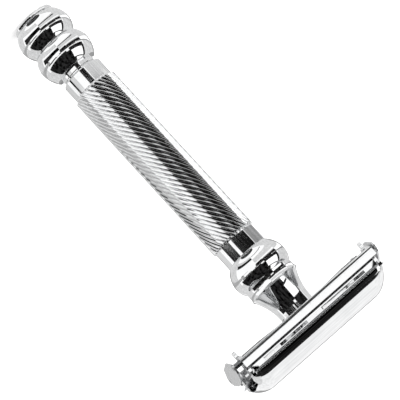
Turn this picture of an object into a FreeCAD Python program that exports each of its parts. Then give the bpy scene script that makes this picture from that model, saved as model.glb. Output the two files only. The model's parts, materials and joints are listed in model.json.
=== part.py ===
import FreeCAD, Part
import math
import os
import Sketcher

# A twist-to-open double-edge safety razor, in millimetres.
# The handle's axis is Z, with the flat end of the knob on Z = 0 and the head on top.
# X runs along the head and the blade, Y runs across the blade from edge to edge.

SHEET_ROWS = [
    # knob
    ("plug_r", 5.55, "radius of the end plug's disc"),
    ("plug_thick", 0.95, "thickness of the end plug's disc"),
    ("plug_edge_r", 0.35, "rounding of the plug's outer edge"),
    ("plug_spigot_r", 3.6, "radius of the plug's spigot"),
    ("plug_spigot_end", 3.9, "height of the spigot's inner end"),
    ("knob_start_r", 5.62, "knob radius beside the plug"),
    ("bead_r", 7.15, "largest radius of both knob beads"),
    ("bead_low_z", 4.75, "height of the lower bead's largest ring"),
    ("waist_r", 5.8, "radius between the two beads"),
    ("waist_z", 8.35, "height between the two beads"),
    ("bead_high_z", 11.8, "height of the upper bead's largest ring"),
    ("shoulder_r", 5.65, "radius of the knob's shoulder"),
    ("shoulder_z", 16.2, "height of the knob's shoulder"),
    ("collar_r", 4.5, "radius of the knob's collar"),
    ("collar_z", 16.0, "height of the collar's foot, a little below the shoulder"),
    ("knob_end_z", 17.5, "height of the knob's top face"),
    # drive inside the knob and the lower handle
    ("stem_r", 3.0, "outer radius of the threaded stem"),
    ("stem_low_z", 4.2, "lower end of the stem"),
    ("stem_high_z", 31.0, "upper end of the stem"),
    ("stem_bore_low_z", 6.2, "floor of the stem's threaded hole"),
    ("clip_groove_r", 2.5, "radius at the bottom of the clip groove"),
    ("clip_low_z", 28.5, "lower face of the retaining clip"),
    ("clip_thick", 0.5, "thickness of the retaining clip"),
    ("clip_r", 3.7, "outer radius of the retaining clip"),
    ("clip_mouth", 2.6, "width of the clip's mouth"),
    ("washer_r", 4.4, "outer radius of the thrust washer"),
    ("washer_thick", 0.4, "thickness of the thrust washer"),
    ("washer_low_z", 17.55, "lower face of the thrust washer"),
    ("bush_high_z", 28.0, "upper end of the stem's bush"),
    ("spring_low_z", 28.05, "lower face of the spring washer"),
    ("spring_thick", 0.4, "height of the spring washer"),
    ("spring_bore_r", 3.12, "inner radius of the spring washer"),
    ("spring_r", 3.85, "outer radius of the spring washer"),
    ("running_gap", 0.05, "radial clearance of a running fit"),
    # handle tube
    ("tube_low_z", 18.0, "lower end of the handle tube"),
    ("tube_edge_r", 0.4, "rounding of the tube's lower edge"),
    ("tube_r", 5.4, "radius of the plain ring below the grip"),
    ("tube_bore_r", 4.0, "bore of the handle tube"),
    ("grip_r", 6.0, "radius over the grip's ridges"),
    ("grip_low_z", 23.2, "lower end of the full grip radius"),
    ("grip_high_z", 72.4, "upper end of the full grip radius"),
    ("grip_bevel", 0.5, "length of the bevel at each end of the grip"),
    ("upper_r", 5.55, "radius of the plain ring above the grip"),
    ("tube_high_z", 77.5, "upper end of the handle tube"),
    # neck
    ("spigot_low_z", 69.5, "lower end of the neck's spigot"),
    ("neck_bore_r", 3.0, "bore of the neck"),
    ("neck_start_r", 5.75, "radius where the neck's bead starts"),
    ("neck_bead_r", 7.57, "largest radius of the neck's bead"),
    ("neck_bead_z", 82.0, "height of the neck bead's largest ring"),
    ("hollow_r", 6.62, "radius of the hollow above the bead"),
    ("hollow_z", 84.8, "height of the hollow above the bead"),
    ("rim_r", 6.78, "radius of the sharp rim"),
    ("rim_z", 87.1, "height of the sharp rim"),
    ("flare_r", 6.4, "radius where the flare starts"),
    ("flare_z", 87.45, "height where the flare starts"),
    ("throat_r", 4.65, "radius of the neck under the head"),
    ("throat_z", 94.0, "height where the flare ends"),
    ("flare_curve_r", 13.5, "radius of the flare's hollow curve"),
    ("prong_slot", 3.4, "width of the slot between the neck's prongs"),
    ("prong_slot_z", 94.8, "floor of the slot between the prongs"),
    ("guide_low_z", 82.0, "lower end of the rod's guide bush"),
    ("guide_high_z", 92.0, "upper end of the rod's guide bush"),
    # draw rod
    ("rod_r", 2.0, "radius of the rod's thread and head"),
    ("rod_low_z", 9.0, "lower end of the rod"),
    ("rod_thread_z", 36.0, "upper end of the rod's thread"),
    ("rod_shank_r", 1.6, "radius of the rod's shank"),
    ("rod_head_z", 78.0, "lower end of the rod's thick head"),
    ("rod_tenon_r", 1.2, "radius of the rod's riveted tenon"),
    # guard
    ("seat_z", 100.6, "height of the blade seat"),
    ("plate_thick", 0.5, "thickness of the guard plate"),
    ("seat_half", 9.4, "half width of the flat blade seat"),
    ("wall_top_y", 9.9, "half width at the top of the guard's wall"),
    ("wall_top_z", 100.45, "height at the top of the guard's wall"),
    ("wall_foot_y", 11.0, "half width at the foot of the wall"),
    ("wall_foot_z", 99.0, "height at the foot of the wall"),
    ("bar_top_z", 98.8, "height of the safety bar's top"),
    ("bar_low_z", 96.1, "height of the safety bar's underside"),
    ("bar_inner_y", 11.0, "half width inside the safety bars"),
    ("bar_outer_y", 12.4, "half width outside the safety bars"),
    ("bar_top_curve", 0.45, "rounding of the bar's upper edge"),
    ("bar_low_curve", 1.0, "rounding of the bar's lower edge"),
    ("bar_half_x", 20.2, "half length of the safety bars"),
    ("wall_in_bar", 0.2, "how far the guard's wall reaches into the bar"),
    ("fold_drop", 0.3, "drop from the wall's foot to its inner corner"),
    ("fold_depth", 1.0, "drop from the wall's foot to the bar's inner corner"),
    ("plate_inset", 0.1, "inset of the plate's underside behind the seat's edge"),
    ("wall_half_x", 19.0, "half length of the guard's walls"),
    ("plate_half_x", 18.3, "half length of the guard plate"),
    ("plate_cut_y", 9.6, "half width cut away at the plate's ends"),
    ("slot_near_x", 2.3, "inner end of each drain slot"),
    ("slot_far_x", 15.6, "outer end of each drain slot"),
    ("slot_low_z", 99.35, "lower edge of the drain slots"),
    ("stud_y", 10.3, "half distance between the cam studs"),
    ("stud_z", 97.2, "height of the cam studs"),
    ("stud_r", 0.5, "radius of the cam studs"),
    ("stud_end_x", 20.15, "outer end of the cam studs"),
    ("rivet_y", 3.83, "half distance between the guard's rivets"),
    ("rivet_r", 0.6, "radius of the guard's rivets"),
    ("rivet_low_z", 97.5, "lower end of the guard's rivets"),
    # blade and its rail
    ("blade_half_x", 21.5, "half length of the blade"),
    ("blade_half_y", 11.0, "half width of the blade"),
    ("blade_edge_x", 18.65, "half length of the cutting edge"),
    ("blade_tab_y", 6.5, "half width of the blade's end tabs"),
    ("blade_thick", 0.1, "thickness of the blade"),
    ("blade_slot_y", 1.15, "half width of the blade's slot"),
    ("blade_slot_x", 17.8, "half length of the blade's slot"),
    ("blade_hole_r", 2.4, "radius of the blade's three round holes"),
    ("blade_hole_x", 14.0, "distance of the outer round holes"),
    ("rail_half_x", 17.2, "half length of the locating rail"),
    ("rail_half_y", 0.9, "half width of the locating rail"),
    ("rail_height", 1.3, "height of the locating rail"),
    ("rail_tenon_x", 9.0, "distance of the rail's tenons"),
    # lift bar and end caps
    ("lift_low_z", 95.1, "underside of the lift bar"),
    ("lift_thick", 0.8, "thickness of the lift bar"),
    ("lift_waist_y", 1.5, "half width of the bar between the prongs"),
    ("lift_waist_x", 5.4, "half length of the narrow middle"),
    ("lift_wing_y", 5.0, "half width of the bar's wings"),
    ("lift_wing_x", 13.2, "distance where the wings start"),
    ("lift_wing_end_x", 18.2, "distance where the wings end"),
    ("lift_tenon_y", 2.6, "half width of the bar's end tenons"),
    ("cap_inner_x", 21.6, "inner face of the end caps"),
    ("cap_thick", 0.55, "thickness of the end caps"),
    ("cap_low_z", 93.9, "lowest line of the end caps"),
    ("cap_low_y", 3.6, "half width of the cap's lower edge"),
    ("cap_side_y", 6.6, "half width of the cap's upper part"),
    ("cap_side_z", 98.2, "height where the cap's arch starts"),
    ("cap_high_z", 99.5, "top of the cap's arch"),
    ("cap_arch_r", 17.2, "radius of the cap's arch"),
    ("lobe_r", 1.15, "radius of the cap's lobes around the pins"),
    ("lobe_out", 0.35, "how far a lobe's arc starts outside its pin"),
    ("lobe_half", 1.05, "half height of a lobe's arc"),
    # doors and their hinges
    ("pivot_y", 7.8, "half distance between the door pivots"),
    ("pivot_z", 96.5, "height of the door pivots with the head shut"),
    ("pin_r", 0.6, "radius of the hinge pins"),
    ("pin_low_x", 19.05, "inner end of the hinge pins"),
    ("door_half_x", 20.2, "half length of a door"),
    ("door_gap", 0.06, "half the gap between the two doors"),
    ("door_top_z", 105.0, "top of the doors"),
    ("door_low_z", 100.75, "lower edge of the doors"),
    ("door_edge_y", 10.45, "half width at the doors' lower edge"),
    ("door_side_y", 10.3, "half width at the top of the door's side"),
    ("door_side_z", 101.7, "height of the top of the door's side"),
    ("door_brow_y", 9.2, "half width where the dome starts"),
    ("door_brow_z", 102.8, "height where the dome starts"),
    ("door_brow_curve", 1.7, "rounding between side and dome"),
    ("door_end_curve", 4.2, "rounding of the dome's ends"),
    ("door_wall", 0.75, "wall thickness of the doors"),
    ("brow_share_y", 0.6, "share of the wall's thickness taken sideways at the brow"),
    ("brow_share_z", 0.9, "share of the wall's thickness taken downwards at the brow"),
    ("arch_y", 6.8, "half width of the opening in the doors' ends"),
    ("arch_z", 102.7, "top of the opening in the doors' ends"),
    ("arch_curve", 1.8, "rounding of the opening's corners"),
    ("ear_inner_x", 19.2, "inner face of the hinge ears"),
    ("ear_inset", 0.1, "how far the ears' outer face stands behind the door's end"),
    ("ear_back", 0.95, "ear width behind the pivot"),
    ("ear_heel", 0.2, "drop of the ear's back edge below the pivot"),
    ("tail_root_back", 0.3, "tail width behind the pivot at its root"),
    ("tail_root", 1.2, "drop of the tail's root below the pivot"),
    ("tail_half", 0.45, "half width of the tail near its tip"),
    ("tail_taper", 0.4, "length of the tail's tapered tip"),
    ("tail_drop", 3.0, "drop of the tail's tip below the pivot"),
    ("crotch_front", 1.0, "distance of the crotch between tail and claw"),
    ("crotch_drop", 1.3, "drop of the crotch below the pivot"),
    ("claw_reach", 3.05, "reach of the claw under the cam stud"),
    ("claw_bevel_y", 0.2, "width of the bevel under the claw's tip"),
    ("claw_bevel_z", 0.35, "height of the bevel under the claw's tip"),
    ("claw_high", 0.1, "drop of the claw's upper edge below the pivot"),
    ("claw_low", 0.8, "drop of the claw's lower edge below the pivot"),
    ("ear_front", 1.8, "ear width in front of the pivot"),
    ("claw_root", 0.4, "distance from the ear's front to the claw's root"),
    ("claw_curve", 0.7, "rounding between ear and claw"),
    ("claw_curve_end", 0.5, "height where that rounding ends over the pivot"),
    ("ear_shoulder", 0.9, "height from the ear's shoulder to the door's lower edge"),
    ("ear_step", 0.25, "height of the ear's step below the door's lower edge"),
    ("ear_lip", 0.05, "inset of the ear's upper corner behind the door's edge"),
    ("ear_lap", 0.6, "how far the ear laps up into the door"),
]


class Dim:
    """A length known both as a number and as the spreadsheet formula that drives it."""

    def __init__(self, value, text):
        self.value = value
        self.text = text

    def __add__(self, other):
        other = as_dim(other)
        return Dim(self.value + other.value, "({} + {})".format(self.text, other.text))

    def __sub__(self, other):
        other = as_dim(other)
        return Dim(self.value - other.value, "({} - {})".format(self.text, other.text))

    def __mul__(self, other):
        other = as_dim(other)
        return Dim(self.value * other.value, "({} * {})".format(self.text, other.text))

    def __truediv__(self, other):
        other = as_dim(other)
        return Dim(self.value / other.value, "({} / {})".format(self.text, other.text))

    def __neg__(self):
        return Dim(-self.value, "(0 - {})".format(self.text))


def as_dim(number):
    """Turn a plain number into a Dim, and leave a Dim alone."""
    if isinstance(number, Dim):
        return number
    return Dim(float(number), repr(float(number)))


class Sizes:
    """Every spreadsheet value, as a Dim attribute with the cell's alias as its name."""


doc = FreeCAD.newDocument("safety_razor")
sheet = doc.addObject("Spreadsheet::Sheet", "sizes")
size = Sizes()
for row, (alias, number, meaning) in enumerate(SHEET_ROWS, start=1):
    sheet.set("A{}".format(row), meaning)
    sheet.set("B{}".format(row), str(number))
    sheet.setAlias("B{}".format(row), alias)
    setattr(size, alias, Dim(number, "sizes.{}".format(alias)))
doc.recompute()

nodes = []


def node(thing, label):
    """Name a finished sub-part and keep it for the export."""
    thing.Label = label
    nodes.append(thing)
    return thing


def new_body(name):
    return doc.addObject("PartDesign::Body", name)


def new_sketch(body, name, plane, offset=None):
    """A sketch on one of the body's own origin planes, lifted along its normal if asked."""
    sketch = body.newObject("Sketcher::SketchObject", name)
    support = [item for item in body.Origin.OriginFeatures if item.Role == plane][0]
    sketch.AttachmentSupport = [(support, "")]
    sketch.MapMode = "FlatFace"
    if offset is not None:
        sketch.setExpression("AttachmentOffset.Base.z", offset.text)
    return sketch


def place_point(sketch, edge, end, across, along):
    """Hold one end of an edge at a driven place."""
    for kind, axis, place in (("DistanceX", -2, across), ("DistanceY", -1, along)):
        place = as_dim(place)
        if abs(place.value) < 1e-9:
            sketch.addConstraint(Sketcher.Constraint("PointOnObject", edge, end, axis))
            continue
        index = sketch.addConstraint(Sketcher.Constraint(kind, -1, 1, edge, end, place.value))
        sketch.setExpression("Constraints[{}]".format(index), place.text)


def drive_radius(sketch, edge, radius):
    index = sketch.addConstraint(Sketcher.Constraint("Radius", edge, radius.value))
    sketch.setExpression("Constraints[{}]".format(index), radius.text)


def arc_between(start, end, radius, turn):
    """The short arc of a given radius from start to end, curving left or right on the way."""
    chord = end - start
    side = FreeCAD.Vector(-chord.y, chord.x, 0).normalize()
    reach = math.sqrt(max(radius ** 2 - (chord.Length / 2) ** 2, 0.0))
    if turn == "right":
        side = -side
    centre = (start + end) * 0.5 + side * reach
    first, last = (start, end) if turn == "left" else (end, start)
    angles = [math.atan2(spot.y - centre.y, spot.x - centre.x) for spot in (first, last)]
    if angles[1] < angles[0]:
        angles[1] += 2 * math.pi
    circle = Part.Circle(centre, FreeCAD.Vector(0, 0, 1), radius)
    return Part.ArcOfCircle(circle, angles[0], angles[1])


def outline(sketch, corners):
    """A closed outline: a corner is (across, along), or has a radius and a turn for an arc to it."""
    spots = [FreeCAD.Vector(as_dim(c[0]).value, as_dim(c[1]).value, 0) for c in corners]
    edges = []
    for number, corner in enumerate(corners):
        start = spots[number - 1]
        end = spots[number]
        if len(corner) == 2:
            edge = sketch.addGeometry(Part.LineSegment(start, end), False)
            edges.append((edge, 1, 2))
        else:
            radius = as_dim(corner[2])
            edge = sketch.addGeometry(arc_between(start, end, radius.value, corner[3]), False)
            drive_radius(sketch, edge, radius)
            edges.append((edge, 1, 2) if corner[3] == "left" else (edge, 2, 1))
    for number, (edge, first, last) in enumerate(edges):
        after, after_first, _ = edges[(number + 1) % len(edges)]
        sketch.addConstraint(Sketcher.Constraint("Coincident", edge, last, after, after_first))
        place_point(sketch, edge, last, corners[number][0], corners[number][1])


def circle(sketch, across, along, radius):
    """A driven circle."""
    across, along, radius = as_dim(across), as_dim(along), as_dim(radius)
    centre = FreeCAD.Vector(across.value, along.value, 0)
    edge = sketch.addGeometry(Part.Circle(centre, FreeCAD.Vector(0, 0, 1), radius.value), False)
    drive_radius(sketch, edge, radius)
    place_point(sketch, edge, 3, across, along)


def rectangle(sketch, low_across, low_along, high_across, high_along):
    outline(sketch, [
        (low_across, low_along),
        (high_across, low_along),
        (high_across, high_along),
        (low_across, high_along),
    ])


def pad(body, sketch, length, symmetric=True):
    feature = body.newObject("PartDesign::Pad", sketch.Name + "_pad")
    feature.Profile = sketch
    feature.SideType = "Symmetric" if symmetric else "One side"
    feature.setExpression("Length", as_dim(length).text)
    sketch.Visibility = False
    return feature


def cut_through(body, sketch, length):
    """Cut a sketch's outline to half the length on both sides of its plane."""
    feature = body.newObject("PartDesign::Pocket", sketch.Name + "_cut")
    feature.Profile = sketch
    feature.SideType = "Symmetric"
    feature.setExpression("Length", as_dim(length).text)
    return feature


def turned(name, corners):
    """A body turned about the handle's axis, from (radius, height) corners."""
    body = new_body(name + "_body")
    sketch = new_sketch(body, name + "_section", "XZ_Plane")
    outline(sketch, corners)
    feature = body.newObject("PartDesign::Revolution", name + "_turning")
    feature.Profile = sketch
    feature.ReferenceAxis = (sketch, ["V_Axis"])
    feature.Angle = 360
    return body


def ring(name, inner, outer, low, high):
    """A plain turned ring."""
    return node(turned(name, [(inner, low), (outer, low), (outer, high), (inner, high)]), name)


def peak_radius(low_r, low_z, peak_r, peak_z):
    """Radius of the arc that ends level at a bead's largest ring."""
    rise = peak_r - low_r
    run = peak_z - low_z
    return (run * run + rise * rise) / (rise * 2)


def rod_along(name, axis, spot, radius, length):
    """A cylinder from spot along +X or +Z."""
    rod = doc.addObject("Part::Cylinder", name)
    rod.setExpression("Radius", as_dim(radius).text)
    rod.setExpression("Height", as_dim(length).text)
    if axis == "X":
        quarter_turn = FreeCAD.Rotation(FreeCAD.Vector(0, 1, 0), 90)
        rod.Placement = FreeCAD.Placement(FreeCAD.Vector(), quarter_turn)
    for letter, place in zip("xyz", spot):
        rod.setExpression("Placement.Base.{}".format(letter), as_dim(place).text)
    return rod


def group(name, things):
    """Separate solids of one kind, kept together as one sub-part."""
    compound = doc.addObject("Part::Compound", name)
    compound.Links = things
    return node(compound, name)


# Both ends, and both sides, of the head.
SIGNS = (1, -1)
# How far a cutting outline stands clear of what it cuts, and how far two joined pads overlap.
CLEAR = 1.0
BITE = 0.1

s = size
spring_high_z = s.spring_low_z + s.spring_thick
clip_high_z = s.clip_low_z + s.clip_thick
lift_high_z = s.lift_low_z + s.lift_thick
plate_low_z = s.seat_z - s.plate_thick
cap_outer_x = s.cap_inner_x + s.cap_thick


def knob_pieces():
    """The two-bead knob, its end plug and the threaded stem that turns with it."""
    plug_flat = s.plug_r - s.plug_edge_r
    node(turned("knob_end_plug", [
        (0, 0),
        (plug_flat, 0),
        (s.plug_r, s.plug_edge_r, s.plug_edge_r, "left"),
        (s.plug_r, s.plug_thick),
        (s.plug_spigot_r, s.plug_thick),
        (s.plug_spigot_r, s.plug_spigot_end),
        (0, s.plug_spigot_end),
    ]), "knob_end_plug")

    low_rise = peak_radius(s.knob_start_r, s.plug_thick, s.bead_r, s.bead_low_z)
    low_fall = peak_radius(s.waist_r, s.waist_z, s.bead_r, s.bead_low_z)
    high_rise = peak_radius(s.waist_r, s.waist_z, s.bead_r, s.bead_high_z)
    high_fall = peak_radius(s.shoulder_r, s.shoulder_z, s.bead_r, s.bead_high_z)
    node(turned("knob", [
        (s.plug_spigot_r, s.plug_thick),
        (s.knob_start_r, s.plug_thick),
        (s.bead_r, s.bead_low_z, low_rise, "left"),
        (s.waist_r, s.waist_z, low_fall, "left"),
        (s.bead_r, s.bead_high_z, high_rise, "left"),
        (s.shoulder_r, s.shoulder_z, high_fall, "left"),
        (s.collar_r, s.collar_z),
        (s.collar_r, s.knob_end_z),
        (s.stem_r, s.knob_end_z),
        (s.stem_r, s.stem_low_z),
        (s.plug_spigot_r, s.stem_low_z),
    ]), "knob")

    bore = s.rod_r + s.running_gap
    node(turned("knob_stem", [
        (0, s.stem_low_z),
        (s.stem_r, s.stem_low_z),
        (s.stem_r, s.clip_low_z),
        (s.clip_groove_r, s.clip_low_z),
        (s.clip_groove_r, clip_high_z),
        (s.stem_r, clip_high_z),
        (s.stem_r, s.stem_high_z),
        (bore, s.stem_high_z),
        (bore, s.stem_bore_low_z),
        (0, s.stem_bore_low_z),
    ]), "knob_stem")

    clip = turned("retaining_clip", [
        (s.clip_groove_r, s.clip_low_z),
        (s.clip_r, s.clip_low_z),
        (s.clip_r, clip_high_z),
        (s.clip_groove_r, clip_high_z),
    ])
    mouth = new_sketch(clip, "clip_mouth_outline", "XY_Plane", s.clip_low_z)
    rectangle(mouth, 0, -s.clip_mouth / 2, s.clip_r * 2, s.clip_mouth / 2)
    cut_through(clip, mouth, s.clip_thick * 4)
    node(clip, "retaining_clip")


def handle_pieces():
    """The grip tube with the bush and washers that carry the knob."""
    stem_hole = s.stem_r + s.running_gap
    ring("thrust_washer", stem_hole, s.washer_r, s.washer_low_z, s.washer_low_z + s.washer_thick)
    ring("stem_bush", stem_hole, s.tube_bore_r, s.tube_low_z, s.bush_high_z)
    ring("spring_washer", s.spring_bore_r, s.spring_r, s.spring_low_z, spring_high_z)
    node(turned("handle_tube", [
        (s.tube_bore_r, s.tube_low_z),
        (s.tube_r - s.tube_edge_r, s.tube_low_z),
        (s.tube_r, s.tube_low_z + s.tube_edge_r, s.tube_edge_r, "left"),
        (s.tube_r, s.grip_low_z - s.grip_bevel),
        (s.grip_r, s.grip_low_z),
        (s.grip_r, s.grip_high_z),
        (s.upper_r, s.grip_high_z + s.grip_bevel),
        (s.upper_r, s.tube_high_z),
        (s.tube_bore_r, s.tube_high_z),
    ]), "handle_tube")


def neck_pieces():
    """The turned neck, slotted at the top for the lift bar, and the rod's guide bush."""
    bead_rise = peak_radius(s.neck_start_r, s.tube_high_z, s.neck_bead_r, s.neck_bead_z)
    bead_fall = peak_radius(s.hollow_r, s.hollow_z, s.neck_bead_r, s.neck_bead_z)
    neck = turned("neck", [
        (s.neck_bore_r, s.spigot_low_z),
        (s.tube_bore_r, s.spigot_low_z),
        (s.tube_bore_r, s.tube_high_z),
        (s.neck_start_r, s.tube_high_z),
        (s.neck_bead_r, s.neck_bead_z, bead_rise, "left"),
        (s.hollow_r, s.hollow_z, bead_fall, "left"),
        (s.rim_r, s.rim_z),
        (s.flare_r, s.flare_z),
        (s.throat_r, s.throat_z, s.flare_curve_r, "right"),
        (s.throat_r, plate_low_z),
        (s.neck_bore_r, plate_low_z),
    ])
    slot = new_sketch(neck, "prong_slot_outline", "YZ_Plane")
    rectangle(slot, -s.prong_slot / 2, s.prong_slot_z, s.prong_slot / 2, s.seat_z)
    cut_through(neck, slot, s.throat_r * 4)
    holes = new_sketch(neck, "neck_rivet_holes", "XY_Plane", plate_low_z)
    for side in SIGNS:
        circle(holes, 0, s.rivet_y * side, s.rivet_r)
    cut_through(neck, holes, (plate_low_z - s.rivet_low_z) * 2)
    node(neck, "neck")
    ring("rod_guide", s.rod_r + s.running_gap, s.neck_bore_r, s.guide_low_z, s.guide_high_z)


def bar_corners():
    """The outside of one safety bar, from its upper edge round to its inner lower corner."""
    return [
        (s.bar_outer_y - s.bar_top_curve, s.bar_top_z),
        (s.bar_outer_y, s.bar_top_z - s.bar_top_curve, s.bar_top_curve, "right"),
        (s.bar_outer_y, s.bar_low_z + s.bar_low_curve),
        (s.bar_outer_y - s.bar_low_curve, s.bar_low_z, s.bar_low_curve, "right"),
        (s.bar_inner_y, s.bar_low_z),
    ]


def guard_section():
    """Half of the guard's cross-section, from the seat out to the bar and back underneath."""
    return [
        (s.seat_half, s.seat_z),
        (s.wall_top_y, s.wall_top_z),
        (s.wall_foot_y, s.wall_foot_z),
        (s.bar_inner_y + s.wall_in_bar, s.bar_top_z),
    ] + bar_corners() + [
        (s.bar_inner_y, s.wall_foot_z - s.fold_depth),
        (s.wall_foot_y - s.plate_thick, s.wall_foot_z - s.fold_drop),
        (s.seat_half - s.plate_inset, plate_low_z),
    ]


def mirrored(half):
    """The left half of an outline, run backwards from the mirror image of its right half."""
    left = []
    for number in range(len(half) - 1, -1, -1):
        corner = half[number]
        after = half[number + 1] if number + 1 < len(half) else corner
        left.append((-corner[0], corner[1]) + (tuple(after[2:]) if len(after) == 4 else ()))
    return left


def bar_section(side):
    """One safety bar's own cross-section."""
    corners = [(s.bar_inner_y, s.bar_top_z)] + bar_corners()
    if side > 0:
        return corners
    flipped = []
    for corner in corners:
        turn = (corner[2], "left") if len(corner) == 4 else ()
        flipped.append((-corner[0], corner[1]) + turn)
    return flipped


def spread(near, far, sign):
    """The ends of a stretch from near to far on one side of the middle, lower end first."""
    return (near, far) if sign > 0 else (-far, -near)


def guard_pieces():
    """The guard: a thin plate with slotted walls, a safety bar along each side, rivets and studs."""
    guard = new_body("guard_body")
    section = new_sketch(guard, "guard_section", "YZ_Plane")
    outline(section, guard_section() + mirrored(guard_section()))
    pad(guard, section, s.wall_half_x * 2)
    for side in SIGNS:
        bar = new_sketch(guard, "bar_section", "YZ_Plane")
        outline(bar, bar_section(side))
        pad(guard, bar, s.bar_half_x * 2)
    for end in SIGNS:
        middle = (s.wall_half_x + s.plate_half_x) / 2
        cheek = new_sketch(guard, "cheek_outline", "YZ_Plane", middle * end)
        for side in SIGNS:
            low, high = spread(s.plate_cut_y, s.bar_inner_y + s.wall_in_bar, side)
            rectangle(cheek, low, s.bar_low_z + s.wall_in_bar, high, s.wall_foot_z - s.plate_inset)
        pad(guard, cheek, s.wall_half_x - s.plate_half_x)
    ends = new_sketch(guard, "plate_end_outline", "XY_Plane", plate_low_z)
    for end in SIGNS:
        low, high = spread(s.plate_half_x, s.wall_half_x + CLEAR, end)
        rectangle(ends, low, -s.plate_cut_y, high, s.plate_cut_y)
    cut_through(guard, ends, s.plate_thick * 8)
    slots = new_sketch(guard, "slot_outline", "XZ_Plane")
    for end in SIGNS:
        low, high = spread(s.slot_near_x, s.slot_far_x, end)
        rectangle(slots, low, s.slot_low_z, high, plate_low_z)
    cut_through(guard, slots, s.bar_outer_y * 4)
    holes = new_sketch(guard, "guard_hole_outline", "XY_Plane", s.seat_z)
    for sign in SIGNS:
        circle(holes, 0, s.rivet_y * sign, s.rivet_r)
        circle(holes, s.rail_tenon_x * sign, 0, s.rivet_r)
    cut_through(guard, holes, s.plate_thick * 4)
    stud_holes = new_sketch(guard, "stud_hole_outline", "YZ_Plane")
    for side in SIGNS:
        circle(stud_holes, s.stud_y * side, s.stud_z, s.stud_r)
    cut_through(guard, stud_holes, s.bar_half_x * 4)
    node(guard, "guard_plate")

    rivet_length = s.seat_z - s.rivet_low_z
    group("guard_rivets", [
        rod_along("guard_rivet", "Z", (0, s.rivet_y * side, s.rivet_low_z), s.rivet_r, rivet_length)
        for side in SIGNS
    ])
    stud_length = s.stud_end_x - s.plate_half_x
    studs = []
    for end in SIGNS:
        start = s.plate_half_x if end > 0 else -s.stud_end_x
        for side in SIGNS:
            studs.append(rod_along("cam_stud", "X", (start, s.stud_y * side, s.stud_z),
                                   s.stud_r, stud_length))
    group("cam_studs", studs)


def blade_pieces():
    """The locating rail riveted to the seat, and a standard double-edge blade over it."""
    rail = new_body("rail_body")
    plan = new_sketch(rail, "rail_plan", "XY_Plane", s.seat_z)
    straight = s.rail_half_x - s.rail_half_y
    outline(plan, [
        (straight, -s.rail_half_y),
        (s.rail_half_x, 0, s.rail_half_y, "left"),
        (straight, s.rail_half_y, s.rail_half_y, "left"),
        (-straight, s.rail_half_y),
        (-s.rail_half_x, 0, s.rail_half_y, "left"),
        (-straight, -s.rail_half_y, s.rail_half_y, "left"),
    ])
    pad(rail, plan, s.rail_height, symmetric=False)
    tenons = new_sketch(rail, "rail_tenon_outline", "XY_Plane", plate_low_z)
    for sign in SIGNS:
        circle(tenons, s.rail_tenon_x * sign, 0, s.rivet_r)
    pad(rail, tenons, s.plate_thick + BITE, symmetric=False)
    node(rail, "blade_rail")

    blade = new_body("blade_body")
    plan = new_sketch(blade, "blade_plan", "XY_Plane", s.seat_z)
    outline(plan, [
        (s.blade_half_x, -s.blade_tab_y),
        (s.blade_half_x, s.blade_tab_y),
        (s.blade_edge_x, s.blade_tab_y),
        (s.blade_edge_x, s.blade_half_y),
        (-s.blade_edge_x, s.blade_half_y),
        (-s.blade_edge_x, s.blade_tab_y),
        (-s.blade_half_x, s.blade_tab_y),
        (-s.blade_half_x, -s.blade_tab_y),
        (-s.blade_edge_x, -s.blade_tab_y),
        (-s.blade_edge_x, -s.blade_half_y),
        (s.blade_edge_x, -s.blade_half_y),
        (s.blade_edge_x, -s.blade_tab_y),
    ])
    pad(blade, plan, s.blade_thick, symmetric=False)
    slot = new_sketch(blade, "blade_slot_outline", "XY_Plane", s.seat_z)
    rectangle(slot, -s.blade_slot_x, -s.blade_slot_y, s.blade_slot_x, s.blade_slot_y)
    cut_through(blade, slot, s.blade_thick * 4)
    for place in (-s.blade_hole_x, as_dim(0), s.blade_hole_x):
        hole = new_sketch(blade, "blade_hole_outline", "XY_Plane", s.seat_z)
        circle(hole, place, 0, s.blade_hole_r)
        cut_through(blade, hole, s.blade_thick * 4)
    node(blade, "razor_blade")


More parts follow.
